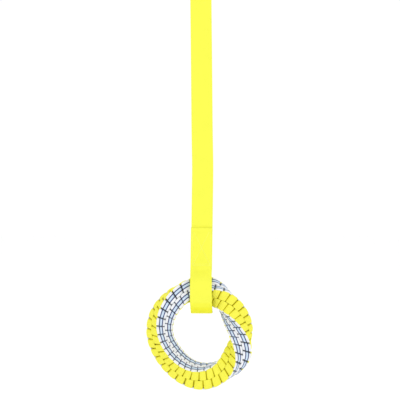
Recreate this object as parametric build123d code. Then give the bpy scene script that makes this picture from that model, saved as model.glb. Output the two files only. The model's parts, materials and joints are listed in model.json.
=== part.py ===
from build123d import *
import math
import os

# Hanging strap swing with a woven tape ring. Millimetres, +Z up, +X across the strap,
# the viewer stands at -Y. The origin is the hang point: the top of the inside of the
# carabiner, where it bears on whatever it is hung from.

# ---- Strap -------------------------------------------------------------------------
STRAP_WIDTH = 50.0          # standard wide webbing
STRAP_THICK = 2.8
STRAP_REACH = 825.0         # D-ring bar to the middle of the lower eye
EYE_RADIUS = 38.6           # inside of the lower eye, clear of the turning ring
EYE_DROP = 14.5             # the lower eye hangs this much longer than round
EYE_THROAT = 46.0           # middle of the lower eye up to the throat of its loop
SEAM_LENGTH = 100.0         # sewn overlap over the lower eye
TOP_EYE_RADIUS = 5.2        # inside of the upper eye, round the D-ring bar
TOP_EYE_THROAT = 22.0
TOP_SEAM_LENGTH = 90.0
THREAD_WIDTH = 1.4
THREAD_HEIGHT = 0.5
SEAM_MARGIN = 4.0           # stitching to the webbing's edges
THROAT_SPARE = 6.0          # unsewn overlap next to each eye

# ---- Woven ring --------------------------------------------------------------------
RING_RADIUS = 97.2          # centre line of the braid, on average
# Hand braiding leaves the ring a little out of round: lengths added to its radius, as
# (waves round the ring, sine, cosine).
RING_WAVES = ((1, 0.2, 1.9), (2, -4.4, 3.3), (3, 1.2, 0.5), (4, 0.8, 1.2))
COURSES = 66                # crossings of each colour round the ring
TAPE_WIDTH = 20.0
TAPE_THICK = 2.8
LANE_GAP = 0.8              # between the two lanes of one colour
FOLD_CLEARANCE = 0.8        # a fold wraps round the other colour with this to spare
FOLD_WIDTH = 15.0           # the tape gathers in where it folds, so the twist leaves room
FOLD_SET_IN = 0.2           # a fold ends this far inside the outer face of its crossings
TACK_WIDTH = 12.0           # bar tack over each tape's joined ends
TACK_LENGTH = 2.4
# The square braid makes one whole turn round the ring, faster in some places than in
# others: degrees added to the plain turn, as (waves round the ring, sine, cosine).
TWIST_START = -22.8
TWIST_WAVES = ((1, 13.2, -30.7), (2, 0.9, 4.8), (3, 2.8, -0.7), (4, 0.3, -2.5))

# ---- D-ring ------------------------------------------------------------------------
D_WIRE = 8.0
D_ARCH_RADIUS = 30.0        # centre line of the arch
D_LEG = 12.0                # straight side between the arch and the bar
D_CORNER = 6.0
LINK_GAP = 0.3              # running clearance between the hanging links

# ---- Carabiner ---------------------------------------------------------------------
ROD = 10.0
BOW_RADIUS = 24.0           # centre line of both rounded ends
SPINE = 50.0                # straight side between the rounded ends
NOSE_LENGTH = 5.0           # straight stub above the gate
HEEL_LENGTH = 4.5           # straight stub below the gate
TONGUE_THICK = 4.0
SLOT_WIDTH = 4.6
TONGUE_ROOT = 1.0           # the tongues reach this far into the rod
PIVOT_RISE = 9.0            # gate pivot above the lower end of the spine
RIVET_RADIUS = 2.0
CAM_RADIUS = 4.2            # the heel's tongue, off centre, lifts the plunger
CAM_OFFSET = 1.6
CAM_NECK = 7.0
PIN_RADIUS = 1.5
PIN_LENGTH = 9.4            # stops short of the gate's round surface, under the sleeve
PIN_FROM_NOSE = 5.0
NOSE_TONGUE = 9.0
NOSE_TONGUE_WIDTH = 7.0
GATE_GAP = 0.8              # over the gate, so that its corner clears the nose
GATE_FOOT_RADIUS = 4.3
SLOT_SPARE = 1.0            # the gate's upper slot is this much deeper than the tongue
BORE_RADIUS = 1.8
PIN_PLAY = 0.4              # round the nose pin in its notch
RIVET_PLAY = 0.15           # round the rivet in the heel's tongue
RIVET_HEAD = 0.6            # the heads are this much larger than the shank
RIVET_HEAD_HEIGHT = 0.45
PLUNGER_PLAY = 0.2          # between the plunger's foot and the cam
SPRING_RADIUS = 1.4
SPRING_WIRE = 0.6
SPRING_PITCH = 1.55
SPRING_TURNS = 6
PLUNGER_RADIUS = 1.6
PLUNGER_LENGTH = 4.0
STEM_RADIUS = 0.7
STEM_LENGTH = 3.0
SLEEVE_LENGTH = 18.0
SLEEVE_RADIUS = 7.2
SLEEVE_BORE = 5.3
SLEEVE_GROOVES = 18
GROOVE_RADIUS = 0.7
GROOVE_MARGIN = 2.5         # plain metal at each end of the grooves
SLEEVE_CHAMFER = 1.0
SLEEVE_BELOW_NOSE = 1.5     # the open sleeve stops this far under the nose's tongue

# ---- Levels worked out from the dimensions above -------------------------------------
BOW_TOP = ROD / 2 - BOW_RADIUS              # centre of the upper rounded end
BOW_BOTTOM = BOW_TOP - SPINE                # centre of the lower rounded end
ROD_BOTTOM = BOW_BOTTOM - BOW_RADIUS        # the D-ring swings round this rod
D_TOP = ROD_BOTTOM + (ROD + D_WIRE) / 2 + LINK_GAP
D_CENTRE = D_TOP - D_ARCH_RADIUS
BAR = D_CENTRE - D_LEG                      # the strap swings round this bar
EYE = BAR - STRAP_REACH                     # the ring tips about this line
RING_CENTRE = EYE - RING_RADIUS - sum(cosine for waves, sine, cosine in RING_WAVES)
TOP_THROAT = BAR - TOP_EYE_THROAT           # the upper seam starts here, downwards
LOW_THROAT = EYE + EYE_THROAT               # the lower seam starts here, upwards
PIVOT = BOW_BOTTOM + PIVOT_RISE             # the gate's rivet
NOSE_END = BOW_TOP - NOSE_LENGTH
HEEL_END = BOW_BOTTOM + HEEL_LENGTH
GATE_TOP = NOSE_END - GATE_GAP
PIN = NOSE_END - PIN_FROM_NOSE
FORK_ROOF = PIVOT + CAM_RADIUS + CAM_OFFSET
PLUNGER_FOOT = PIVOT + CAM_RADIUS + PLUNGER_PLAY
PLUNGER_TOP = PLUNGER_FOOT + PLUNGER_LENGTH
SPRING_FOOT = PLUNGER_TOP + SPRING_WIRE     # centre of the wire's first turn
SPRING_TOP = SPRING_FOOT + SPRING_PITCH * SPRING_TURNS
BORE_TOP = SPRING_TOP + SPRING_WIRE
SLEEVE_FOOT = NOSE_END - NOSE_TONGUE - SLEEVE_BELOW_NOSE - SLEEVE_LENGTH

GATE_SIDE = -BOW_RADIUS                     # the gate closes the side nearest the viewer
IN_FRONT = -1                               # the strap's tails lie on the viewer's side
BEHIND = 1
SIDE_VIEW = Plane.YZ                        # sketches of the strap and the carabiner
FRONT_VIEW = Plane.XZ                       # sketches of the D-ring and the stitching
os.makedirs("parts", exist_ok=True)


def save(shape, name):
    """Write one sub-part to its own STEP file."""
    shape.label = name
    export_step(shape, f"parts/{name}.step")


def rod_along_x(radius, length, y, z):
    """A round pin across the carabiner."""
    return Pos(0, y, z) * Rot(0, 90, 0) * Cylinder(radius, length)


def slab(x_size, y_range, z_range):
    """A block centred on X, between two Y and two Z levels."""
    y_low, y_high = y_range
    z_low, z_high = z_range
    middle = Pos(0, (y_low + y_high) / 2, (z_low + z_high) / 2)
    return middle * Box(x_size, y_high - y_low, z_high - z_low)


# ---- Carabiner -----------------------------------------------------------------------
def nose_hook():
    """Flat tongue under the nose, notched so that the gate's pin drops into it."""
    half = NOSE_TONGUE_WIDTH / 2
    levels = (NOSE_END - NOSE_TONGUE, NOSE_END + TONGUE_ROOT)
    tongue = slab(TONGUE_THICK, (GATE_SIDE - half, GATE_SIDE + half), levels)
    notch = PIN_RADIUS + PIN_PLAY
    round_end = rod_along_x(notch, 2 * TONGUE_THICK, GATE_SIDE, PIN)
    mouth = slab(2 * TONGUE_THICK, (GATE_SIDE, GATE_SIDE + 2 * half), (PIN - notch, PIN + notch))
    return tongue - round_end - mouth


def heel_cam():
    """Flat tongue on the heel, bored for the rivet; its round top lifts the plunger."""
    cam = rod_along_x(CAM_RADIUS, TONGUE_THICK, GATE_SIDE + CAM_OFFSET, PIVOT)
    half = CAM_NECK / 2
    neck = slab(TONGUE_THICK, (GATE_SIDE - half, GATE_SIDE + half), (HEEL_END - TONGUE_ROOT, PIVOT))
    bore = rod_along_x(RIVET_RADIUS + RIVET_PLAY, 2 * TONGUE_THICK, GATE_SIDE, PIVOT)
    return cam + neck - bore


def carabiner_body():
    """One bent round rod, open on the gate side, with the two tongues forged on its ends."""
    nose = Line((GATE_SIDE, NOSE_END), (GATE_SIDE, BOW_TOP))
    top = CenterArc((0, BOW_TOP), BOW_RADIUS, 180, -180)
    back = Line((BOW_RADIUS, BOW_TOP), (BOW_RADIUS, BOW_BOTTOM))
    bottom = CenterArc((0, BOW_BOTTOM), BOW_RADIUS, 0, -180)
    heel = Line((GATE_SIDE, BOW_BOTTOM), (GATE_SIDE, HEEL_END))
    path = SIDE_VIEW * Wire([nose, top, back, bottom, heel])
    start = Plane(origin=(0, GATE_SIDE, NOSE_END), z_dir=(0, 0, 1))
    rod = sweep(start * Circle(ROD / 2), path=path)
    return rod + nose_hook() + heel_cam()


def gate():
    """Round gate, forked at both ends, bored up the middle for its spring."""
    shaft = Pos(0, GATE_SIDE, (GATE_TOP + PIVOT) / 2) * Cylinder(ROD / 2, GATE_TOP - PIVOT)
    disc = rod_along_x(GATE_FOOT_RADIUS, ROD, GATE_SIDE, PIVOT)
    foot = disc & (Pos(0, GATE_SIDE, PIVOT) * Cylinder(ROD / 2, ROD))
    across = (GATE_SIDE - ROD, GATE_SIDE + ROD)
    top_slot = slab(SLOT_WIDTH, across, (NOSE_END - NOSE_TONGUE - SLOT_SPARE, NOSE_END))
    foot_slot = slab(SLOT_WIDTH, across, (PIVOT - ROD, FORK_ROOF))
    bore = Pos(0, GATE_SIDE, (BORE_TOP + PIVOT) / 2) * Cylinder(BORE_RADIUS, BORE_TOP - PIVOT)
    rivet_hole = rod_along_x(RIVET_RADIUS, 2 * ROD, GATE_SIDE, PIVOT)
    pin_hole = rod_along_x(PIN_RADIUS, 2 * ROD, GATE_SIDE, PIN)
    return shaft + foot - top_slot - foot_slot - bore - rivet_hole - pin_hole


def gate_rivet():
    """Hinge rivet with a low head each side."""
    shank = rod_along_x(RIVET_RADIUS, ROD + 2 * RIVET_HEAD_HEIGHT, GATE_SIDE, PIVOT)
    heads = rod_along_x(RIVET_RADIUS + RIVET_HEAD, ROD + 2 * RIVET_HEAD_HEIGHT, GATE_SIDE, PIVOT)
    heads -= rod_along_x(RIVET_RADIUS + 2 * RIVET_HEAD, ROD, GATE_SIDE, PIVOT)
    return shank + heads


def nose_pin():
    """Pin across the gate's upper fork; it hooks into the nose."""
    return rod_along_x(PIN_RADIUS, PIN_LENGTH, GATE_SIDE, PIN)


def gate_plunger():
    """Short plunger that presses on the cam, with a stem inside the spring."""
    head = Cylinder(PLUNGER_RADIUS, PLUNGER_LENGTH)
    head = Pos(0, GATE_SIDE, PLUNGER_FOOT + PLUNGER_LENGTH / 2) * head
    stem = Pos(0, GATE_SIDE, PLUNGER_TOP + STEM_LENGTH / 2) * Cylinder(STEM_RADIUS, STEM_LENGTH)
    return head + stem


def gate_spring():
    """Closing spring inside the gate."""
    coil = Helix(SPRING_PITCH, SPRING_PITCH * SPRING_TURNS, SPRING_RADIUS)
    start = Plane(origin=coil @ 0, z_dir=coil % 0)
    wire = sweep(start * Circle(SPRING_WIRE / 2), path=coil, is_frenet=True)
    return Pos(0, GATE_SIDE, SPRING_FOOT) * wire


def lock_sleeve():
    """Grooved screw sleeve; run up over the nose, it keeps the gate shut."""
    sleeve = Cylinder(SLEEVE_RADIUS, SLEEVE_LENGTH)
    sleeve = chamfer(sleeve.edges().filter_by(GeomType.CIRCLE), SLEEVE_CHAMFER)
    groove = Cylinder(GROOVE_RADIUS, SLEEVE_LENGTH - 2 * GROOVE_MARGIN)
    sleeve -= [loc * groove for loc in PolarLocations(SLEEVE_RADIUS, SLEEVE_GROOVES)]
    sleeve -= Cylinder(SLEEVE_BORE, 2 * SLEEVE_LENGTH)
    return Pos(0, GATE_SIDE, SLEEVE_FOOT + SLEEVE_LENGTH / 2) * sleeve


# ---- D-ring --------------------------------------------------------------------------
def d_ring():
    """Welded D-ring: an arch in the carabiner and a straight bar for the strap."""
    arch = CenterArc((0, D_CENTRE), D_ARCH_RADIUS, 0, 180)
    lower = FilletPolyline(
        (-D_ARCH_RADIUS, D_CENTRE), (-D_ARCH_RADIUS, BAR),
        (D_ARCH_RADIUS, BAR), (D_ARCH_RADIUS, D_CENTRE), radius=D_CORNER,
    )
    path = FRONT_VIEW * Wire(arch.edges() + lower.edges())
    start = Plane(origin=(D_ARCH_RADIUS, 0, D_CENTRE), z_dir=(0, 0, 1))
    return sweep(start * Circle(D_WIRE / 2), path=path)


# ---- Strap ---------------------------------------------------------------------------
def teardrop(radius, throat):
    """A circle with its two tangents drawn to a point above it (below, if negative)."""
    lean = math.asin(radius / abs(throat))
    side = radius * math.cos(lean)
    rise = math.copysign(radius * math.sin(lean), throat)
    neck = Polyline((0, throat), (side, rise), (0, 0), (-side, rise), close=True)
    return Circle(radius) + make_face(neck)


def outside(radius, throat):
    """The same teardrop, one webbing thickness larger all round."""
    grown = abs(throat) + STRAP_THICK * abs(throat) / radius
    return teardrop(radius + STRAP_THICK, math.copysign(grown, throat))


def ply(side, foot, top):
    """One straight thickness of webbing, in front of the middle plane or behind it."""
    middle = Pos(side * STRAP_THICK / 2, (foot + top) / 2)
    return middle * Rectangle(STRAP_THICK, top - foot)


def long_eye(drop_shape, radius):
    """A teardrop at the lower eye's level, let down by a short straight stretch."""
    bottom = Pos(0, EYE - EYE_DROP) * Circle(radius)
    sides = Pos(0, EYE - EYE_DROP / 2) * Rectangle(2 * radius, EYE_DROP)
    return Pos(0, EYE) * drop_shape + bottom + sides


def strap():
    """One length of webbing, folded back on itself and sewn at both ends."""
    run = ply(BEHIND, LOW_THROAT, TOP_THROAT)
    top_tail = ply(IN_FRONT, TOP_THROAT - TOP_SEAM_LENGTH, TOP_THROAT)
    low_tail = ply(IN_FRONT, LOW_THROAT, LOW_THROAT + SEAM_LENGTH)
    low_outside = long_eye(outside(EYE_RADIUS, EYE_THROAT), EYE_RADIUS + STRAP_THICK)
    low_inside = long_eye(teardrop(EYE_RADIUS, EYE_THROAT), EYE_RADIUS)
    top_outside = Pos(0, BAR) * outside(TOP_EYE_RADIUS, -TOP_EYE_THROAT)
    top_inside = Pos(0, BAR) * teardrop(TOP_EYE_RADIUS, -TOP_EYE_THROAT)
    profile = run + top_tail + low_tail + low_outside + top_outside - low_inside - top_inside
    return extrude(SIDE_VIEW * profile, amount=STRAP_WIDTH / 2, both=True)


def box_stitch(length):
    """A sewn box with a cross in it, as flat lines of thread."""
    half_x = STRAP_WIDTH / 2 - SEAM_MARGIN
    half_z = length / 2 - SEAM_MARGIN
    end_line = Rectangle(2 * half_x + THREAD_WIDTH, THREAD_WIDTH)
    side_line = Rectangle(THREAD_WIDTH, 2 * half_z)
    cross_line = Rectangle(2 * math.hypot(half_x, half_z), THREAD_WIDTH)
    lean = math.degrees(math.atan2(half_z, half_x))
    sewing = Sketch()
    for side in (-1, 1):
        sewing += Pos(0, side * half_z) * end_line
        sewing += Pos(side * half_x, 0) * side_line
        sewing += Rot(0, 0, side * lean) * cross_line
    return sewing


def stitching(foot, top):
    """The thread showing on both faces of one sewn overlap."""
    front = FRONT_VIEW * (Pos(0, (foot + top) / 2) * box_stitch(top - foot))
    shown = extrude(Pos(0, -STRAP_THICK, 0) * front, amount=THREAD_HEIGHT)
    behind = extrude(Pos(0, STRAP_THICK, 0) * front, amount=-THREAD_HEIGHT)
    return Compound(children=[shown, behind])


# ---- Woven ring ----------------------------------------------------------------------
FACE_REACH = TAPE_WIDTH + LANE_GAP / 2 + FOLD_CLEARANCE + TAPE_THICK
LANE = (TAPE_WIDTH + LANE_GAP) / 2


def ripple(clock, terms):
    """The sum of a few waves round the ring."""
    return sum(s * math.sin(waves * clock) + c * math.cos(waves * clock) for waves, s, c in terms)


def section(course):
    """The braid's square section: X out of a yellow face, Y out of a striped one."""
    clock = 2 * math.pi * course / COURSES
    turn = math.radians(math.degrees(clock) + TWIST_START + ripple(clock, TWIST_WAVES))
    radius = RING_RADIUS + ripple(clock, RING_WAVES)
    outward = Vector(math.sin(clock), 0, math.cos(clock))
    onward = Vector(math.cos(clock), 0, -math.sin(clock))
    to_viewer = Vector(0, -1, 0)
    yellow = outward * math.sin(turn) + to_viewer * math.cos(turn)
    centre = Vector(0, 0, RING_CENTRE) + outward * radius
    return Plane(origin=centre, x_dir=yellow, z_dir=onward)


def oriented(yellow, x, y, z):
    """Sizes or places across a braid section, swapped for the striped tapes."""
    return (x, y, z) if yellow else (y, x, z)


def plate(course, yellow, lane):
    """The tape where it crosses the braid."""
    reach = 2 * FACE_REACH - TAPE_THICK / 2
    block = Box(*oriented(yellow, reach, TAPE_WIDTH, TAPE_THICK))
    return section(course) * Pos(*oriented(yellow, 0, lane, 0)) * block


def fold_place(course, yellow, side, lane):
    """Where the tape folds over one face, half way between two crossings."""
    return section(course) * Pos(*oriented(yellow, side * (FACE_REACH - TAPE_THICK / 2), lane, 0))


def fold(course, yellow, side, lane):
    """The short stretch of tape that shows on a face of the braid."""
    place = fold_place(course, yellow, side, lane)
    radius = math.hypot(place.position.X, place.position.Z - RING_CENTRE)
    length = 2 * (radius * math.sin(math.pi / COURSES) + TAPE_THICK / 2 - FOLD_SET_IN)
    return place * Box(*oriented(yellow, TAPE_THICK, FOLD_WIDTH, length))


def woven_tape(yellow, lane_side):
    """One tape, laid to and fro across the braid all the way round the ring."""
    lane = lane_side * LANE
    first = 0 if yellow else 0.5
    pieces = []
    for step in range(COURSES):
        course = first + step
        side = lane_side if step % 2 == 0 else -lane_side
        pieces.append(plate(course, yellow, lane))
        pieces.append(fold(course + 0.5, yellow, side, lane))
    return Part() + pieces


def bar_tack(yellow, lane_side):
    """Thread over the joined ends of one tape, at the top of the ring, inside the eye."""
    first = 0 if yellow else 0.5
    place = fold_place(first + 0.5, yellow, lane_side, lane_side * LANE)
    out = lane_side * (TAPE_THICK + THREAD_HEIGHT) / 2
    block = Box(*oriented(yellow, THREAD_HEIGHT, TACK_WIDTH, TACK_LENGTH))
    return place * Pos(*oriented(yellow, out, 0, 0)) * block


# ---- Write every sub-part --------------------------------------------------------------
save(carabiner_body(), "carabiner_body")
save(gate(), "carabiner_gate")
save(gate_rivet(), "gate_rivet")
save(nose_pin(), "nose_pin")
save(gate_plunger(), "gate_plunger")
save(gate_spring(), "gate_spring")
save(lock_sleeve(), "lock_sleeve")
save(d_ring(), "d_ring")
save(strap(), "strap")
save(stitching(LOW_THROAT + THROAT_SPARE, LOW_THROAT + SEAM_LENGTH), "lower_stitching")
save(stitching(TOP_THROAT - TOP_SEAM_LENGTH, TOP_THROAT - THROAT_SPARE), "upper_stitching")
tacks = []
for tape, lane_side in (("a", 1), ("b", -1)):
    for colour, yellow in (("yellow", True), ("striped", False)):
        save(woven_tape(yellow, lane_side), f"{colour}_tape_{tape}")
        tacks.append(bar_tack(yellow, lane_side))
save(Compound(children=tacks), "tape_end_stitching")
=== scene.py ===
import json
import math

import bpy
import numpy as np
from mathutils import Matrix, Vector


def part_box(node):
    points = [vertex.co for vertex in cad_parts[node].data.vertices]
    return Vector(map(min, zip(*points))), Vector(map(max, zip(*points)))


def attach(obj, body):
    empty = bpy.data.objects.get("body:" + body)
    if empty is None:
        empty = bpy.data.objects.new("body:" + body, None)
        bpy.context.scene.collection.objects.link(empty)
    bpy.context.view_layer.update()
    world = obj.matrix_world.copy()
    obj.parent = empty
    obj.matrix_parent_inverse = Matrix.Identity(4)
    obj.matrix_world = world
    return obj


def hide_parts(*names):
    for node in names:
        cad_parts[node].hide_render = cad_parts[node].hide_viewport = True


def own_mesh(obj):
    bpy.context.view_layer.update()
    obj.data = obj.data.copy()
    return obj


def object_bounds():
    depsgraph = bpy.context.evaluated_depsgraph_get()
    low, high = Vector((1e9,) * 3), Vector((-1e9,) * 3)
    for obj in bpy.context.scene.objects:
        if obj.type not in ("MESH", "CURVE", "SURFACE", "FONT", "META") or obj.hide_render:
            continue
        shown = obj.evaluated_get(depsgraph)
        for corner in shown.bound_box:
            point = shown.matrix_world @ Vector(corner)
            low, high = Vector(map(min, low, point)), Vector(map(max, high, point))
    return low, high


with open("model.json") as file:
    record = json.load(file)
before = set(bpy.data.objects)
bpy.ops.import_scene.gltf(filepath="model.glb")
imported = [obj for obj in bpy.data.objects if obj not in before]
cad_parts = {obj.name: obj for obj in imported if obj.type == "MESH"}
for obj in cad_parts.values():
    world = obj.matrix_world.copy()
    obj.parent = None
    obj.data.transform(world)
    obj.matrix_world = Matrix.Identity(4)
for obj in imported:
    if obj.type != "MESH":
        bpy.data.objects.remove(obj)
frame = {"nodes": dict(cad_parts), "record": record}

CAD_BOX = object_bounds()
JOINTS = {joint["name"]: joint for joint in frame["record"]["behaviour"]["joints"]}
RANDOM = np.random.default_rng(7)
MM = 1000                       # millimetres in a metre

# ---- Places and sizes, in metres where nothing else is said ------------------------------
BAR = JOINTS["strap_swing"]["pos_m"][2]         # middle of the D-ring's bar
EYE = JOINTS["ring_tilt"]["pos_m"][2]           # middle of the strap's lower eye

STRAP_WIDTH = 0.050
STRAP_THICK = 0.0026
PLY = 0.0014                    # middle of each ply of a sewn overlap, off the middle plane
EYE_RADIUS = 0.0403             # middle line of the lower eye
EYE_DROP = 0.0143               # the lower eye hangs this much longer than round
EYE_THROAT = 0.0460             # from its middle up to about where its plies meet
EYE_NECK = 0.014                # bend of each ply there
SEAM_LENGTH = 0.100
TOP_EYE_RADIUS = 0.0066
TOP_EYE_THROAT = 0.022
TOP_EYE_NECK = 0.012
TOP_SEAM_LENGTH = 0.090

RING_RADIUS = 0.0972
COURSES = 66
TAPE_WIDTH = 0.0200
LANE = 0.0104                   # middle of each lane, off the middle of the braid
FACE = 0.0226                   # middle of a folded tape, off the middle of the braid
COURSE_PITCH = 2 * math.pi * RING_RADIUS / COURSES

# Waves in the ring's radius and in its twist: how many go round it, and the sine and cosine
# part of each, in millimetres and in degrees.
RING_WAVES = ((1, 0.2, 1.9), (2, -4.4, 3.3), (3, 1.2, 0.5), (4, 0.8, 1.2))
TWIST_WAVES = ((1, 13.2, -30.7), (2, 0.9, 4.8), (3, 2.8, -0.7), (4, 0.3, -2.5))
TWIST_START = math.radians(-22.8)
RING_CENTRE = EYE - RING_RADIUS - sum(cosine for waves, sine, cosine in RING_WAVES) / MM


# ---- Camera ------------------------------------------------------------------------------
LENS = 47.71
CAMERA_ASIDE = -0.0018
CAMERA_AWAY = 1.25
CAMERA_UP = 0.3148              # above the ring's centre


def make_camera():
    """Level, in front of the strap and about a fifth of a metre above its lower eye."""
    data = bpy.data.cameras.new("camera")
    data.sensor_width = 36.0
    data.lens = LENS
    data.clip_end = 50.0
    camera = bpy.data.objects.new("camera", data)
    camera.location = (CAMERA_ASIDE, -CAMERA_AWAY, RING_CENTRE + CAMERA_UP)
    camera.rotation_euler = (math.radians(90), 0, 0)
    bpy.context.collection.objects.link(camera)
    bpy.context.scene.camera = camera


make_camera()


# ---- Mesh helpers ------------------------------------------------------------------------
# Places near a tape's edge, as shares of half its width in from the edge. The edge's
# rounding ends at the last one.
EDGE_PLACES = np.array([0.0, 0.012, 0.04, 0.09])


def mesh_object(name, points, faces, uvs=None):
    """A smooth-shaded mesh; uvs holds one (across, along) pair in metres for each face corner."""
    mesh = bpy.data.meshes.new(name)
    mesh.from_pydata([tuple(p) for p in points], [], [tuple(f) for f in faces])
    mesh.update()
    mesh.shade_smooth()
    if uvs is not None:
        layer = mesh.uv_layers.new(name="tape")
        layer.data.foreach_set("uv", np.asarray(uvs, dtype=np.float32).ravel())
    thing = bpy.data.objects.new(name, mesh)
    bpy.context.collection.objects.link(thing)
    return thing


def tube_faces(start, rings, sides, winding=1):
    """
    Faces of a closed tube whose points go round one ring after another, from number start on.
    A winding of -1 turns every face over.
    """
    faces = []
    for ring in range(rings - 1):
        low, high = start + ring * sides, start + (ring + 1) * sides
        for side in range(sides):
            other = (side + 1) % sides
            faces.append((low + side, low + other, high + other, high + side)[::winding])
    end = start + (rings - 1) * sides
    faces.append(tuple(range(start, start + sides))[::-winding])
    faces.append(tuple(range(end, end + sides))[::winding])
    return faces


def webbing_section(middle_places):
    """
    The section of a flat tape with round edges: places across it, from -1 to 1, and its
    thickness at each as a share of the full thickness.
    """
    rounding = EDGE_PLACES[-1]
    inner = np.linspace(-1 + 2 * rounding, 1 - 2 * rounding, middle_places)
    across = np.concatenate([-1 + EDGE_PLACES, inner, 1 - EDGE_PLACES[::-1]])
    into = np.clip((1 - np.abs(across)) / rounding, 0, 1)
    thick = np.sqrt(1 - (1 - into) ** 2)
    return across, thick


def webbing(name, width, section, middle, thickness, along, shown, closed, lift=None):
    """
    A woven tape of real thickness. middle[i, j] is its middle surface, i along and j across;
    thickness[i] is its thickness and along[i] the length so far. shown[i] is kept for the
    material, which paints shade where it is low: 0 where the tape is buried in the braid and
    round the strap's lower fold, 1 where it is open. lift[i, j] raises the side that the
    normal points to.
    """
    across, thick = section
    rows = len(middle)
    if closed:
        run = np.roll(middle, -1, 0) - np.roll(middle, 1, 0)
    else:
        run = np.gradient(middle, axis=0)
    side = np.gradient(middle, axis=1)
    normal = np.cross(side, run)
    normal /= np.linalg.norm(normal, axis=2, keepdims=True)
    half = (thickness[:, None] * thick[None, :] / 2)[:, :, None]
    raised = half if lift is None else half + lift[:, :, None]
    front = middle + normal * raised
    back = (middle - normal * half)[:, -2:0:-1]
    skin = np.concatenate([front, back], axis=1)
    around = np.concatenate([across, across[-2:0:-1]])
    count = skin.shape[1]
    points = skin.reshape(-1, 3)
    faces = []
    uvs = []
    half_width = width / 2
    last = rows if closed else rows - 1
    for i in range(last):
        k = (i + 1) % rows
        low, high = along[i], along[i + 1]
        for j in range(count):
            n = (j + 1) % count
            faces.append((i * count + j, i * count + n, k * count + n, k * count + j))
            left, right = around[j] * half_width, around[n] * half_width
            uvs += [(left, low), (right, low), (right, high), (left, high)]
    if not closed:
        for row, flip in ((0, True), (rows - 1, False)):
            rim = [row * count + j for j in range(count)]
            rim_uvs = [(around[j] * half_width, along[row]) for j in range(count)]
            faces.append(rim[::-1] if flip else rim)
            uvs += rim_uvs[::-1] if flip else rim_uvs
    tape = mesh_object(name, points, faces, uvs)
    layer = tape.data.attributes.new("shown", "FLOAT", "POINT")
    layer.data.foreach_set("value", np.repeat(shown, count).astype(np.float32))
    return tape


def rounded_path(corners, radii, step):
    """
    Points in one plane along straight runs joined by tangent arcs, about a step apart, and
    closer round a small arc. The first pass lays the arcs. The second divides the long gaps
    between them, and leaves out a point that all but repeats the one before it.
    """
    path = [np.array(corners[0])]
    for before, corner, after, radius in zip(corners, corners[1:], corners[2:], radii):
        before, corner, after = np.array(before), np.array(corner), np.array(after)
        inward = (before - corner) / np.linalg.norm(before - corner)
        outward = (after - corner) / np.linalg.norm(after - corner)
        opening = math.acos(np.clip(inward @ outward, -1, 1))
        reach = radius / math.tan(opening / 2)
        bisector = (inward + outward) / np.linalg.norm(inward + outward)
        centre = corner + bisector * radius / math.sin(opening / 2)
        start = corner + inward * reach - centre
        end = corner + outward * reach - centre
        turn = math.pi - opening
        pieces = max(2, int(turn * radius / min(step, radius / 8)))
        for piece in range(pieces + 1):
            share = piece / pieces
            weights = math.sin((1 - share) * turn), math.sin(share * turn)
            path.append(centre + (start * weights[0] + end * weights[1]) / math.sin(turn))
    path.append(np.array(corners[-1]))
    path = np.array(path)
    gaps = np.linalg.norm(np.diff(path, axis=0), axis=1)
    dense = [path[0]]
    for start, end, gap in zip(path, path[1:], gaps):
        if gap < step / 20:
            continue
        pieces = max(1, int(round(gap / step)))
        for piece in range(1, pieces + 1):
            dense.append(start + (end - start) * piece / pieces)
    return np.array(dense)


# ---- Materials ---------------------------------------------------------------------------
YELLOW = (0.955, 0.96, 0.080, 1.0)
TAPE_YELLOW = (0.955, 0.915, 0.082, 1.0)
THREAD_YELLOW = (0.98, 0.99, 0.26, 1.0)
WHITE = (1.0, 1.0, 1.0, 1.0)
BLACK = (0.0, 0.0, 0.0, 1.0)
PALE = (0.985, 0.985, 0.985, 1.0)
TAPE_WHITE = (0.90, 0.92, 0.95)
TAPE_BLUE = (0.64, 0.78, 0.93)
TAPE_NAVY = (0.030, 0.046, 0.18)

# Each of these multiplies a fabric's colour as painted shade: the first of a pair where its
# shown attribute is lowest, and the second beside that. The strap's pair paints shade round
# its lower fold, and the tapes' pairs paint shade deep in the braid's crevices and on the
# folds' flanks.
STRAP_FOLD_SHADE, STRAP_HALF_SHADE = (1.0, 0.965, 0.42), (1.0, 0.985, 0.72)
NAVY_CREVICE_SHADE, OLIVE_FLANK_SHADE = (0.07, 0.08, 0.80), (0.95, 0.90, 0.30)
OLIVE_CREVICE_SHADE, NAVY_FLANK_SHADE = (0.55, 0.46, 0.01), (0.44, 0.46, 0.52)
UNCHANGED = (1.0, 1.0, 1.0)

# Warp pitch, weft pitch and depth of each weave.
STRAP_WEAVE = (0.0013, 0.0016, 0.00022)
TAPE_WEAVE = (0.0011, 0.0014, 0.0002)
THREAD_WEAVE = (0.0004, 0.0006, 0.00008)

PATCH_SCALE = 38.0              # slow changes of a fabric's colour
FIBRE_SCALE = 2600.0
DRAWN_SCALE = (900.0, 900.0, 60.0)              # draw lines, stretched along Z
CLOUD_SCALE = 120.0             # cloudy plating


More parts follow.
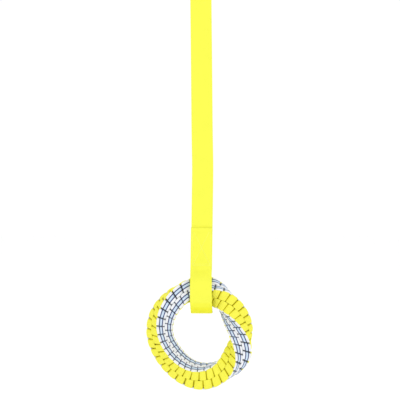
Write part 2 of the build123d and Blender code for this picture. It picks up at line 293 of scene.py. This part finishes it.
class Nodes:
    """Short calls for building one material's node tree."""

    def __init__(self, name):
        self.material = bpy.data.materials.new(name)
        self.material.use_nodes = True
        self.tree = self.material.node_tree
        self.shader = self.tree.nodes["Principled BSDF"]

    def add(self, kind, **settings):
        node = self.tree.nodes.new(kind)
        for key, value in settings.items():
            setattr(node, key, value)
        return node

    def link(self, source, target):
        self.tree.links.new(source, target)

    def feed(self, socket, value):
        if isinstance(value, bpy.types.NodeSocket):
            self.link(value, socket)
        else:
            socket.default_value = value

    def math(self, operation, first, second=0.0, third=0.0):
        node = self.add("ShaderNodeMath", operation=operation)
        for socket, value in zip(node.inputs, (first, second, third)):
            self.feed(socket, value)
        return node.outputs[0]

    def mix(self, factor, first, second, blend="MIX"):
        node = self.add("ShaderNodeMix", data_type="RGBA", blend_type=blend)
        self.feed(node.inputs["Factor"], factor)
        self.feed(node.inputs["A"], first)
        self.feed(node.inputs["B"], second)
        return node.outputs["Result"]

    def darker(self, colour, share):
        """The same colour at a share of its brightness, whether a constant or a socket."""
        return self.mix(1 - share, colour, BLACK)

    def ramp(self, factor, stops):
        node = self.add("ShaderNodeValToRGB")
        elements = node.color_ramp.elements
        while len(elements) < len(stops):
            elements.new(0.5)
        for element, (place, colour) in zip(elements, stops):
            element.position = place
            element.color = (*colour, 1)
        self.feed(node.inputs["Fac"], factor)
        return node.outputs["Color"]

    def noise(self, vector, scale, detail, rough=0.5):
        node = self.add("ShaderNodeTexNoise")
        node.inputs["Scale"].default_value = scale
        node.inputs["Detail"].default_value = detail
        node.inputs["Roughness"].default_value = rough
        self.feed(node.inputs["Vector"], vector)
        return node.outputs["Fac"]

    def bump(self, height, distance):
        node = self.add("ShaderNodeBump")
        node.inputs["Strength"].default_value = 1.0
        node.inputs["Distance"].default_value = distance
        self.feed(node.inputs["Height"], height)
        self.link(node.outputs["Normal"], self.shader.inputs["Normal"])


def weave(nodes, warp_pitch, weft_pitch):
    """
    A plain weave from the tape's own coordinates: warp threads run along it and rise over
    every other weft thread. Returns how far across the tape a point is, and its height.
    """
    coordinates = nodes.add("ShaderNodeUVMap", uv_map="tape")
    split = nodes.add("ShaderNodeSeparateXYZ")
    nodes.link(coordinates.outputs["UV"], split.inputs[0])
    across, along = split.outputs[0], split.outputs[1]
    warp = nodes.math("MULTIPLY", across, math.pi / warp_pitch)
    weft = nodes.math("MULTIPLY", along, math.pi / weft_pitch)
    thread = nodes.math("ABSOLUTE", nodes.math("SINE", warp))
    thread_number = nodes.math("FLOOR", nodes.math("DIVIDE", across, warp_pitch))
    half_turns = nodes.math("MULTIPLY", thread_number, math.pi)
    over = nodes.math("SINE", nodes.math("ADD", weft, half_turns))
    rise = nodes.math("MULTIPLY_ADD", over, 0.5, 0.5)
    height = nodes.math("MULTIPLY", thread, nodes.math("MULTIPLY_ADD", rise, 0.7, 0.3))
    return across, height


def stripes(nodes, across):
    """White tape with a pale blue middle between two thin dark blue lines."""
    off_middle = nodes.math("DIVIDE", nodes.math("ABSOLUTE", across), TAPE_WIDTH / 2)
    stops = (
        (0.0, TAPE_BLUE), (0.22, TAPE_BLUE), (0.25, TAPE_NAVY),
        (0.45, TAPE_NAVY), (0.48, TAPE_WHITE), (1.0, TAPE_WHITE),
    )
    return nodes.ramp(off_middle, stops)


def fabric(name, colour, pitches_and_depth, buried=None, flank=None, tint=YELLOW):
    """
    Woven polyester: colour variation, weave, fibre fuzz and a soft sheen. colour is a constant
    or a function of the nodes and the place across. buried and flank multiply it as painted
    shade where the piece's shown attribute is low. A fabric without them needs no such attribute.
    """
    warp_pitch, weft_pitch, depth = pitches_and_depth
    nodes = Nodes(name)
    across, height = weave(nodes, warp_pitch, weft_pitch)
    base = colour(nodes, across) if callable(colour) else colour
    coordinates = nodes.add("ShaderNodeTexCoord").outputs["Object"]
    patches = nodes.noise(coordinates, PATCH_SCALE, 3.0)
    fibres = nodes.noise(coordinates, FIBRE_SCALE, 2.0, 0.6)
    patchy = nodes.math("MULTIPLY_ADD", patches, 0.35, -0.08)
    shaded = nodes.mix(patchy, base, nodes.darker(base, 0.80))
    # Painted shade between the threads: the low places of the weave are darkened.
    gaps = nodes.math("MULTIPLY_ADD", height, -0.45, 0.45)
    shaded = nodes.mix(gaps, shaded, nodes.darker(base, 0.62))
    # Painted shade where the shown attribute is low: deep in the braid's crevices, on the folds'
    # flanks and round the strap's lower fold.
    if buried is not None:
        shown = nodes.add("ShaderNodeAttribute", attribute_name="shown").outputs["Fac"]
        stops = (
            (0.0, buried), (0.45, buried), (0.62, flank), (0.80, flank), (0.93, UNCHANGED),
        )
        shaded = nodes.mix(1.0, shaded, nodes.ramp(shown, stops), "MULTIPLY")
    nodes.feed(nodes.shader.inputs["Base Color"], shaded)
    rough = nodes.math("MULTIPLY_ADD", fibres, 0.25, 0.63)
    nodes.feed(nodes.shader.inputs["Roughness"], rough)
    nodes.shader.inputs["Specular IOR Level"].default_value = 0.2
    nodes.shader.inputs["Sheen Weight"].default_value = 0.18
    nodes.shader.inputs["Sheen Roughness"].default_value = 0.45
    nodes.shader.inputs["Sheen Tint"].default_value = tint
    nodes.bump(nodes.math("MULTIPLY_ADD", fibres, 0.35, height), depth)
    return nodes.material


def plated_steel(name, colour, roughness):
    """Zinc-plated steel: fine draw lines and cloudy plating."""
    nodes = Nodes(name)
    coordinates = nodes.add("ShaderNodeTexCoord").outputs["Object"]
    stretch = nodes.add("ShaderNodeMapping")
    stretch.inputs["Scale"].default_value = DRAWN_SCALE
    nodes.link(coordinates, stretch.inputs["Vector"])
    lines = nodes.noise(stretch.outputs["Vector"], 1.0, 3.0)
    clouds = nodes.noise(coordinates, CLOUD_SCALE, 4.0)
    tint = nodes.mix(clouds, (*colour, 1.0), (*(0.82 * c for c in colour), 1.0))
    nodes.feed(nodes.shader.inputs["Base Color"], tint)
    nodes.shader.inputs["Metallic"].default_value = 1.0
    rough = nodes.math("MULTIPLY_ADD", clouds, 0.16, roughness - 0.08)
    nodes.feed(nodes.shader.inputs["Roughness"], rough)
    nodes.bump(nodes.math("MULTIPLY_ADD", clouds, 0.6, lines), 0.00004)
    return nodes.material


MATERIALS = {
    "strap": fabric("yellow_webbing", YELLOW, STRAP_WEAVE, STRAP_FOLD_SHADE, STRAP_HALF_SHADE),
    "yellow": fabric("yellow_tape", TAPE_YELLOW, TAPE_WEAVE, NAVY_CREVICE_SHADE, OLIVE_FLANK_SHADE),
    "striped": fabric("striped_tape", stripes, TAPE_WEAVE, OLIVE_CREVICE_SHADE, NAVY_FLANK_SHADE, WHITE),
    "thread": fabric("sewing_thread", THREAD_YELLOW, THREAD_WEAVE),
    "steel": plated_steel("steel_rod", (0.44, 0.45, 0.47), 0.30),
    "pins": plated_steel("steel_pins", (0.32, 0.32, 0.34), 0.36),
    "spring": plated_steel("spring_wire", (0.20, 0.20, 0.22), 0.34),
    "sleeve": plated_steel("sleeve_metal", (0.36, 0.37, 0.39), 0.34),
    "link": plated_steel("d_ring_steel", (0.47, 0.48, 0.50), 0.26),
}


def dress(piece, material, body, slot, *nodes):
    """A finished piece: its material, its body and the CAD nodes it stands for. slot is not used."""
    piece.data.materials.clear()
    piece.data.materials.append(MATERIALS[material])
    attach(piece, body)
    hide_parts(*nodes)


# ---- Strap -------------------------------------------------------------------------------
# Heights above the ring's centre, and how far towards +X the strap hangs there.
WANDER = (
    (0.045, 0.0038), (0.080, 0.0008), (0.150, 0.0014), (0.240, 0.0028),
    (0.390, 0.0047), (0.480, 0.0032), (0.640, 0.0018), (0.790, 0.0003), (0.930, 0.0),
)
WANDER_PLACES = 240             # those heights are filled in to this many places
WANDER_BLUR = 21                # and smoothed over this many
PLY_ASIDE = 0.0009              # the lower tail is sewn this far off the ply behind it
LOWER_HALF_TOP = 0.5            # above the ring's centre
FOLD_SHADE_TOP = 0.052             # painted shade up to this height above the ring's centre
FOLD_SHADE_FADE = 0.032                # fading out over this far above that
HEM = 0.010                     # each tail's end is folded under itself
HEM_LIFT = 0.0011
HEM_SLOPE = 0.0015              # length of the step down off the hem
HEM_END = 0.001                 # its end is rounded over about this length
STRAP_STEP = 0.004
ARC_SHARE = 0.999               # an arc is a little smaller than its runs allow


def eye_corners(level, radius, throat, upwards, drop=0.0):
    """Corners of one sewn eye's middle line, from the front ply round to the back one."""
    lean = math.asin((radius - PLY) / throat)
    apex = radius / math.sin(lean)
    neck = level + upwards * (apex - PLY / math.tan(lean))
    shoulder = level + upwards * (apex - radius / math.tan(lean))
    far = level - upwards * (radius + drop)
    front = [(-PLY, neck), (-radius, shoulder), (-radius, far)]
    return front + [(-y, height) for y, height in front[::-1]]


def strap_route():
    """The strap's middle line in the YZ plane, from its upper tail to its lower tail."""
    top = eye_corners(BAR, TOP_EYE_RADIUS, TOP_EYE_THROAT, -1)
    low = eye_corners(EYE, EYE_RADIUS, EYE_THROAT, 1, EYE_DROP)[::-1]
    start = (-PLY, BAR - TOP_EYE_THROAT - TOP_SEAM_LENGTH)
    end = (-PLY, EYE + EYE_THROAT + SEAM_LENGTH)
    top_radii = [TOP_EYE_NECK] + [TOP_EYE_RADIUS * ARC_SHARE] * 4 + [TOP_EYE_NECK]
    low_radii = [EYE_NECK] + [EYE_RADIUS * ARC_SHARE] * 4 + [EYE_NECK]
    return rounded_path([start, *top, *low, end], top_radii + low_radii, STRAP_STEP)


def wander(height):
    """How far the hanging strap strays sideways, at heights above the ring's centre."""
    places = np.array([height for height, aside in WANDER])
    asides = np.array([aside for height, aside in WANDER])
    fine = np.linspace(places[0], places[-1], WANDER_PLACES)
    level = np.interp(fine, places, asides)
    kernel = np.hanning(WANDER_BLUR)
    padded = np.pad(level, WANDER_BLUR // 2, mode="edge")
    return np.interp(height, fine, np.convolve(padded, kernel / kernel.sum(), mode="valid"))


def make_strap():
    """One length of webbing, sewn into an eye at each end, drifting a little as it hangs."""
    route = strap_route()
    gaps = np.linalg.norm(np.diff(route, axis=0), axis=1)
    along = np.concatenate([[0], np.cumsum(gaps)])
    across, thick = webbing_section(15)
    height = route[:, 1] - RING_CENTRE
    in_front = np.clip(-route[:, 0] / PLY, 0, 1)
    drift = wander(height) - PLY_ASIDE * in_front * (height < LOWER_HALF_TOP)
    middle = np.stack([
        across[None, :] * STRAP_WIDTH / 2 + drift[:, None],
        np.repeat(route[:, :1], len(across), 1),
        np.repeat(route[:, 1:], len(across), 1),
    ], axis=2)
    thickness = np.full(len(route), STRAP_THICK)
    from_end = np.minimum(along, along[-1] - along)
    step_down = np.clip((HEM - from_end) / HEM_SLOPE, 0, 1)
    round_end = np.clip(from_end / HEM_END + 0.3, 0, 1)
    lift = (HEM_LIFT * step_down * round_end)[:, None] * thick[None, :]
    # shown is 0 round the lower fold, where the material paints shade on the strap, and rises to 1
    # above it
    shown = np.clip((height - FOLD_SHADE_TOP) / FOLD_SHADE_FADE, 0, 1)
    section = across, thick
    return webbing(
        "webbing_strap", STRAP_WIDTH, section, middle, thickness, along, shown, False, lift
    )


# ---- Stitching ---------------------------------------------------------------------------
STITCH_PITCH = 0.0034
STITCH_LENGTH = 0.0027
STITCH_RISE = 0.0003            # its middle stands this far above its ends
STITCH_DIP = 0.0001             # and its ends lie this far below its level
STITCH_SUNK = 0.0001            # its level, below the strap's face
STITCH_TURN = 0.03              # how much its direction varies, as a slope
THREAD_RADIUS = 0.00042
THREAD_END = 0.35               # share of the radius left at a stitch's ends
THREAD_SIDES = 8
SEAM_MARGIN = 0.004             # from the sewn area's edges to its box, and between the rows
SEAM_START = 0.006              # from the eye's throat to the sewn area
LOWER_SEAM_ASIDE = 0.0018       # the lower seam lies aside with the strap


def stitch_shape():
    """One stitch: a short thread, fat in the middle and dipping at both ends; X along, Y up."""
    rings = 7
    points = []
    for ring in range(rings):
        share = ring / (rings - 1)
        arch = math.sin(math.pi * share)
        size = THREAD_RADIUS * (THREAD_END + (1 - THREAD_END) * arch ** 0.5)
        rise = STITCH_RISE * arch - STITCH_DIP
        along = (share - 0.5) * STITCH_LENGTH
        for side in range(THREAD_SIDES):
            angle = 2 * math.pi * side / THREAD_SIDES
            points.append((along, rise + size * math.cos(angle), size * math.sin(angle)))
    return np.array(points), tube_faces(0, rings, THREAD_SIDES)


def sewn_lines(foot, top):
    """The box and cross of one sewn overlap, as pairs of ends in the XZ plane."""
    half = STRAP_WIDTH / 2 - SEAM_MARGIN
    low, high = foot + SEAM_MARGIN, top - SEAM_MARGIN
    corners = [(-half, low), (half, low), (half, high), (-half, high)]
    sides = list(zip(corners, corners[1:] + corners[:1]))
    inner_low, inner_high = low + SEAM_MARGIN, high - SEAM_MARGIN
    rows = [((-half, level), (half, level)) for level in (inner_low, inner_high)]
    return sides + rows + [(corners[0], corners[2]), (corners[1], corners[3])]


def thread_uvs(faces):
    """Thread is too thin for its coordinates to show, so all its faces share the same few."""
    warp_pitch, weft_pitch = THREAD_WEAVE[:2]
    uvs = []
    for face in faces:
        for corner in range(len(face)):
            angle = 2 * math.pi * corner / len(face)
            uvs.append((warp_pitch * math.cos(angle), weft_pitch * math.sin(angle)))
    return uvs


def make_stitching(name, foot, top, drift):
    """Single stitches of thread on both faces of a sewn overlap."""
    shape, shape_faces = stitch_shape()
    level = PLY + STRAP_THICK / 2 - STITCH_SUNK
    points = []
    faces = []
    for (x0, z0), (x1, z1) in sewn_lines(foot, top):
        length = math.hypot(x1 - x0, z1 - z0)
        count = int(length / STITCH_PITCH)
        direction = np.array([(x1 - x0) / length, 0, (z1 - z0) / length])
        for side in (-1, 1):
            up = np.array([0, side, 0])
            over = np.cross(direction, up)
            for number in range(count):
                share = (number + 0.5) / count
                x = x0 + (x1 - x0) * share + drift
                z = z0 + (z1 - z0) * share
                middle = np.array([x, side * level, z])
                turned = direction + over * RANDOM.normal(0, STITCH_TURN)
                turned /= np.linalg.norm(turned)
                basis = np.stack([turned, up, np.cross(turned, up)])
                first = len(points)
                points.extend(middle + shape @ basis)
                faces.extend(tuple(first + corner for corner in face) for face in shape_faces)
    return mesh_object(name, points, faces, thread_uvs(faces))


# ---- Woven ring --------------------------------------------------------------------------
# One fold of a tape, in millimetres out from the middle of the braid and round the ring.
FOLD_RUN = ((0.0, 0.0), (7.0, 0.0), (13.5, 0.0), (16.9, -0.45))
FOLD_BEND = 2.2                 # radius of the turn over the braid's face
FOLD_FLARE = 2.55               # how far back the tape swings before that turn
FOLD_SHOULDER = (0.28, 2.4)     # after it: how far proud of the face, and how far round
FOLD_CROWN = 0.38               # how far proud the fold's middle is
FOLD_START = 14.0               # the tape starts to spread this far out
SHOWN_START = 17.0              # and starts to show this far out

# How a fold differs from the tape at its crossing.
CROSSING_THICK = 0.0023
FOLD_THICKER = 0.0008
SPREAD = 0.115                  # share by which the tape widens
OUTWARD = 0.00078               # how far it moves towards the braid's corner
EDGE_DIP = 0.0002               # how far both its edges dip
CORNER_DIP = 0.0006             # and how much more the one at the braid's corner does
EDGE_ROUNDING = 0.05            # share by which its edges are shorter than its middle

# How much one fold differs from the next.
PUFF = 0.00012                  # how far out it stands
REACH = 0.03                    # share of its length round the ring
SHIFT = 0.00018                 # how far across its lane it lies
SKEW = 0.02                     # its slant, in courses from its middle to its edge

# The bar tacks over the tapes' joined ends. A strand lies across its tape.
TACK_STRANDS = 7
TACK_STEPS = 9
TACK_PITCH = 0.055              # between two strands, in courses
TACK_HALF_WIDE = 0.028          # half of one strand, in courses
TACK_HALF_LONG = 0.0055
TACK_LEVEL = 0.0022             # middle of a strand, out from the folded tape's middle
TACK_CROWN = 0.00085            # how far it would drop by the tape's edge
TACK_SINK = THREAD_RADIUS * 1.5                 # how far its ends sink besides
TACK_HALF_THICK = THREAD_RADIUS * 0.8


def ripple(clock, terms):
    """The sum of a few waves round the ring."""
    return sum(s * np.sin(waves * clock) + c * np.cos(waves * clock) for waves, s, c in terms)


def braid_place(course, yellow_off, striped_off):
    """A place in the braid: which course, how far out of a yellow face and of a striped face."""
    clock = 2 * math.pi * course / COURSES
    turn = clock + TWIST_START + np.radians(ripple(clock, TWIST_WAVES))
    radius = RING_RADIUS + ripple(clock, RING_WAVES) / MM
    outward = np.stack([np.sin(clock), np.zeros_like(clock), np.cos(clock)], axis=-1)
    to_viewer = np.array([0.0, -1.0, 0.0])
    sine, cosine = np.sin(turn)[..., None], np.cos(turn)[..., None]
    yellow = outward * sine + to_viewer * cosine
    striped = to_viewer * sine - outward * cosine
    centre = np.array([0.0, 0.0, RING_CENTRE]) + outward * radius[..., None]
    return centre + yellow * yellow_off[..., None] + striped * striped_off[..., None]


def fold_outline():
    """
    One fold in millimetres, from one crossing to the next: distance out from the middle of
    the braid, and distance round the ring. The tape leaves its crossing, flares, turns over
    the face, and goes back in at the next crossing as it came.
    """
    face = FACE * MM
    pitch = COURSE_PITCH * MM
    half = list(FOLD_RUN)
    for angle in range(-120, 1, 20):
        turned = math.radians(angle)
        out = face - FOLD_BEND + FOLD_BEND * math.cos(turned)
        half.append((out, FOLD_BEND - FOLD_FLARE + FOLD_BEND * math.sin(turned)))
    half.append((face + FOLD_SHOULDER[0], FOLD_SHOULDER[1]))
    half = np.array(half)
    middle = np.array([[face + FOLD_CROWN, pitch / 2]])
    mirrored = half[::-1] * [1, -1] + [0, pitch]
    return np.concatenate([half, middle, mirrored[:-1]])


def make_tape(name, yellow, lane_side):
    """One tape woven to and fro across the braid all the way round the ring."""
    across, thick = webbing_section(5)
    face = FACE * MM
    pitch = COURSE_PITCH * MM
    unit = fold_outline()
    folded = np.clip((unit[:, 0] - FOLD_START) / (face - FOLD_START), 0, 1)
    folded = folded * folded * (3 - 2 * folded)
    folded_here = folded[:, None]
    across_here = across[None, :]
    from_fold = (unit[:, 1] - pitch / 2) / pitch
    first = 0.0 if yellow else 0.5          # striped folds lie between the yellow ones
    corner = np.clip(lane_side * across_here, 0, 1)
    dip = folded_here * (EDGE_DIP * across_here ** 4 + CORNER_DIP * corner ** 6)
    rounding = 1 - EDGE_ROUNDING * folded_here * across_here ** 6
    wider = across_here * SPREAD * TAPE_WIDTH / 2
    out, course, aside = [], [], []
    for step in range(COURSES):
        side = lane_side if step % 2 == 0 else -lane_side
        puff, reach, shift, skew = RANDOM.normal(0, 1, 4)
        stretch = 1 + folded * (REACH * reach)
        round_here = 0.5 + from_fold[:, None] * stretch[:, None] * rounding
        round_here = round_here + folded_here * SKEW * skew * across_here
        out.append(side * ((unit[:, :1] / MM + folded_here * puff * PUFF) - dip))
        course.append(first + step + round_here)
        aside.append(folded_here * (shift * SHIFT + lane_side * OUTWARD + wider))
    out = np.concatenate(out)
    course = np.concatenate(course)
    lane = lane_side * LANE + np.concatenate(aside) + across_here * TAPE_WIDTH / 2
    thickness = np.tile(CROSSING_THICK + folded * FOLD_THICKER, COURSES)
    # shown is low where the tape goes into the braid; the material paints crevice shade there.
    shown = np.tile(np.clip((unit[:, 0] - SHOWN_START) / (face - SHOWN_START), 0, 1), COURSES)
    middle = braid_place(course, out, lane) if yellow else braid_place(course, lane, out)
    core = middle[:, len(across) // 2]
    gaps = np.linalg.norm(np.roll(core, -1, 0) - core, axis=1)
    along = np.concatenate([[0], np.cumsum(gaps)])
    section = across, thick
    return webbing(name, TAPE_WIDTH, section, middle, thickness, along, shown, True)


def make_tacks():
    """A short dense bar of thread over each tape's joined ends, inside the strap's eye."""
    points, faces = [], []
    for yellow, lane_side in ((True, 1), (False, 1), (True, -1), (False, -1)):
        first = 0.5 if yellow else 1.0
        winding = 1 if yellow == (lane_side > 0) else -1
        for strand in range(TACK_STRANDS):
            faces += tube_faces(len(points), TACK_STEPS, THREAD_SIDES, winding)
            course = first + (strand - (TACK_STRANDS - 1) / 2) * TACK_PITCH
            for step in np.linspace(-TACK_HALF_LONG, TACK_HALF_LONG, TACK_STEPS):
                sink = TACK_SINK * (abs(step) / TACK_HALF_LONG) ** 4
                crown = TACK_CROWN * (step / (TAPE_WIDTH / 2)) ** 2
                level = FACE + TACK_LEVEL - sink - crown
                lane = np.array(lane_side * LANE + step)
                for side in range(THREAD_SIDES):
                    angle = 2 * math.pi * side / THREAD_SIDES
                    out = np.array(lane_side * (level + TACK_HALF_THICK * math.sin(angle)))
                    here = np.array(course + TACK_HALF_WIDE * math.cos(angle))
                    yellow_off, striped_off = (out, lane) if yellow else (lane, out)
                    points.append(braid_place(here, yellow_off, striped_off))
    return mesh_object("tape_end_tacks", points, faces, thread_uvs(faces))


# ---- Gate spring -------------------------------------------------------------------------
SPRING_TURNS = 8
SPRING_STEPS = 24               # in each turn
SPRING_SIDES = 10
SPRING_WIRE = 0.0006
SPRING_CLOSE = SPRING_WIRE * 1.02               # pitch of its first and last turns
SPRING_LOW, SPRING_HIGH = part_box("gate_spring")


def make_spring():
    """A round wire wound up the gate's bore, its first and last turns wound close."""
    coil_radius = (SPRING_HIGH.x - SPRING_LOW.x - SPRING_WIRE) / 2
    centre_y = (SPRING_LOW.y + SPRING_HIGH.y) / 2
    foot = SPRING_LOW.z + SPRING_WIRE / 2
    top = SPRING_HIGH.z - SPRING_WIRE / 2
    turns = np.linspace(0, SPRING_TURNS, SPRING_TURNS * SPRING_STEPS + 1)
    knots = [0, 1, SPRING_TURNS - 1, SPRING_TURNS]
    levels = np.interp(turns, knots, [foot, foot + SPRING_CLOSE, top - SPRING_CLOSE, top])
    points = []
    for turn, level in zip(turns, levels):
        angle = 2 * math.pi * turn
        for side in range(SPRING_SIDES):
            around = 2 * math.pi * side / SPRING_SIDES
            radius = coil_radius + SPRING_WIRE / 2 * math.cos(around)
            height = level + SPRING_WIRE / 2 * math.sin(around)
            points.append((radius * math.cos(angle), centre_y + radius * math.sin(angle), height))
    faces = []
    for ring in range(len(turns) - 1):
        low, high = ring * SPRING_SIDES, (ring + 1) * SPRING_SIDES
        for side in range(SPRING_SIDES):
            other = (side + 1) % SPRING_SIDES
            faces.append((low + side, high + side, high + other, low + other))
    faces.append(tuple(range(SPRING_SIDES)))
    faces.append(tuple(range(len(points) - SPRING_SIDES, len(points)))[::-1])
    return mesh_object("closing_spring", points, faces)


# ---- Pieces ------------------------------------------------------------------------------
dress(make_strap(), "strap", "strap", "yellow_webbing", "strap")
low_throat = EYE + EYE_THROAT
top_throat = BAR - TOP_EYE_THROAT
lower = make_stitching(
    "lower_sewing", low_throat + SEAM_START, low_throat + SEAM_LENGTH, LOWER_SEAM_ASIDE
)
dress(lower, "thread", "strap", "sewing_thread", "lower_stitching")
upper = make_stitching("upper_sewing", top_throat - TOP_SEAM_LENGTH, top_throat - SEAM_START, 0.0)
dress(upper, "thread", "strap", "sewing_thread", "upper_stitching")
for letter, lane_side in (("a", 1), ("b", -1)):
    for colour in ("yellow", "striped"):
        piece = make_tape(f"{colour}_braid_{letter}", colour == "yellow", lane_side)
        dress(piece, colour, "ring", f"{colour}_tape", f"{colour}_tape_{letter}")
dress(make_tacks(), "thread", "ring", "sewing_thread", "tape_end_stitching")

spring = make_spring()
dress(spring, "spring", "gate", "spring_wire", "gate_spring")
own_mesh(spring)

# The CAD nodes that show as they are, and the metal of each.
METAL = {
    "carabiner_body": "steel",
    "carabiner_gate": "steel",
    "gate_rivet": "pins",
    "nose_pin": "pins",
    "gate_plunger": "pins",
    "lock_sleeve": "sleeve",
    "d_ring": "link",
}
for node, metal in METAL.items():
    thing = frame["nodes"][node]
    for slot_on_thing in thing.material_slots:
        slot_on_thing.material = MATERIALS[metal]


# ---- Stage and light ---------------------------------------------------------------------
FLOOR_RADIUS = 9.0
FLOOR_SIDES = 64
FLOOR_BELOW = 0.22              # under the ring's lowest point
LIGHT_SIZE = 1.6
LIGHT_AIM = (0.0, 0.0, RING_CENTRE + 0.2)


def make_floor():
    """A plain pale floor, well below the ring."""
    level = CAD_BOX[0][2] - FLOOR_BELOW
    angles = np.linspace(0, 2 * math.pi, FLOOR_SIDES + 1)[:-1]
    rim = [(FLOOR_RADIUS * math.cos(a), FLOOR_RADIUS * math.sin(a), level) for a in angles]
    floor = mesh_object("floor", rim, [tuple(range(len(rim)))])
    nodes = Nodes("pale_floor")
    nodes.shader.inputs["Base Color"].default_value = PALE
    nodes.shader.inputs["Roughness"].default_value = 0.9
    floor.data.materials.append(nodes.material)


def area_light(name, x, y, above, watts):
    """A soft box pointed at LIGHT_AIM from x, y and a height above it."""
    place = (x, y, LIGHT_AIM[2] + above)
    data = bpy.data.lights.new(name, "AREA")
    data.size = LIGHT_SIZE
    data.energy = watts
    light = bpy.data.objects.new(name, data)
    light.location = place
    direction = [a - p for a, p in zip(LIGHT_AIM, place)]
    pitch = math.atan2(math.hypot(direction[0], direction[1]), -direction[2])
    light.rotation_euler = (pitch, 0, math.atan2(direction[1], direction[0]) - math.pi / 2)
    bpy.context.collection.objects.link(light)


def make_light():
    """A white studio all round, with soft lights on both sides of the viewer and behind the swing."""
    world = bpy.data.worlds.new("studio")
    world.use_nodes = True
    background = world.node_tree.nodes["Background"]
    background.inputs["Color"].default_value = WHITE
    background.inputs["Strength"].default_value = 1.02
    bpy.context.scene.world = world
    area_light("key", -1.3, -1.9, 1.3, 8.0)
    area_light("fill", 1.5, -1.8, 0.6, 6.0)
    area_light("back", 1.2, 1.8, 1.0, 6.0)
    bpy.context.scene.view_settings.view_transform = "Standard"


make_floor()
make_light()
